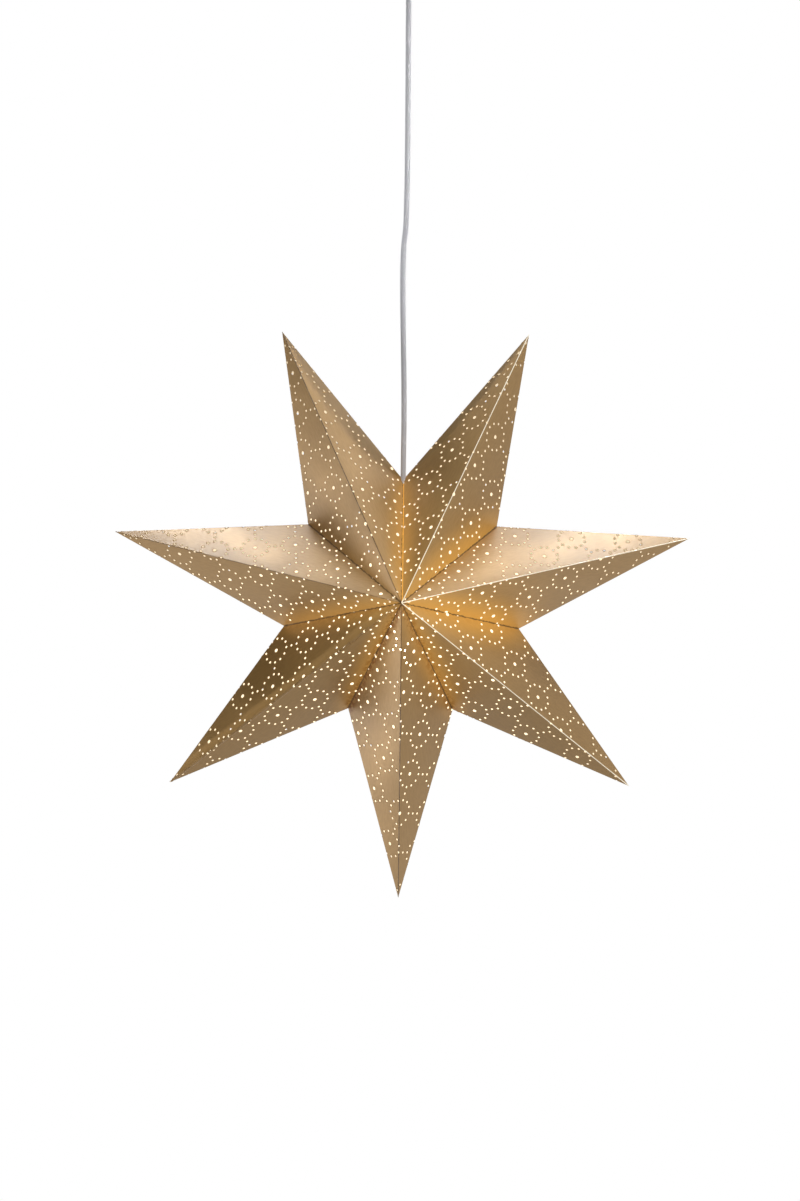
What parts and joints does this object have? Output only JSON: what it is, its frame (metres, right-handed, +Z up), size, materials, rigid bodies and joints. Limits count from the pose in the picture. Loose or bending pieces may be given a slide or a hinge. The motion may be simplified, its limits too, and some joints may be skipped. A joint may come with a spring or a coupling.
{
  "type": "advent star lamp",
  "caption": "Folded and perforated paper star shade that hangs by a cord from a round ceiling cup, with a screw lamp holder and a bulb inside.",
  "frame": {"origin": "centre of the ceiling plate's upper face, on the ceiling, straight above the star's centre", "axes": "+Z up, -Y towards the viewer of the star's front, +X to the viewer's right"},
  "size_m": [0.6142, 0.194, 1.0421],
  "materials": {
    "gold_paper": "satin gold paper with punched rosettes",
    "spring_steel": "bright drawn wire",
    "plated_steel": "zinc plated",
    "white_cup": "white enamel",
    "white_plastic": "moulded, satin",
    "cord_sheath": "smooth pale grey sheath",
    "live_core": "smooth",
    "neutral_core": "smooth",
    "porcelain": "glazed",
    "brass": "turned",
    "opal_globe": "opal diffuser, lit",
    "cap_metal": "rolled thread",
    "cap_insulator": "black glass"
  },
  "bodies": {
    "ceiling": {"ceiling_plate": "plated_steel", "ceiling_cup": "white_cup", "cup_screws": "plated_steel", "terminal_block": "white_plastic", "cord_outlet": "white_plastic", "outlet_nut": "white_plastic", "cord_tail": "cord_sheath", "ceiling_live_core": "live_core", "ceiling_neutral_core": "neutral_core"},
    "pendant": {"cord_drop": "cord_sheath", "holder_cap": "white_plastic", "cord_grip": "white_plastic", "holder_body": "white_plastic", "shade_ring": "white_plastic", "holder_insert": "porcelain", "screw_shell": "brass", "centre_contact": "brass", "holder_terminals": "brass", "holder_live_core": "live_core", "holder_neutral_core": "neutral_core"},
    "star": {"bottom_point": "gold_paper", "lower_right_point": "gold_paper", "right_point": "gold_paper", "upper_right_point": "gold_paper", "upper_left_point": "gold_paper", "left_point": "gold_paper", "lower_left_point": "gold_paper", "front_clip": "spring_steel", "back_clip": "spring_steel", "hanger_wire": "spring_steel"},
    "bulb": {"bulb_globe": "opal_globe", "bulb_cap": "cap_metal", "bulb_insulator": "cap_insulator", "bulb_contact": "brass"}
  },
  "joints": [
    {"name": "swing", "type": "hinge", "parent": "ceiling", "child": "pendant", "pos_m": [0, 0, -0.059], "axis": [0, 1, 0], "range_deg": [-20, 20]},
    {"name": "star_turn", "type": "hinge", "parent": "pendant", "child": "star", "pos_m": [0, 0, -0.691], "axis": [0, 0, 1], "range_deg": [-180, 180]},
    {"name": "bulb_turn", "type": "hinge", "parent": "pendant", "child": "bulb", "pos_m": [0, 0, -0.74], "axis": [0, 0, 1], "continuous": true}
  ]
}
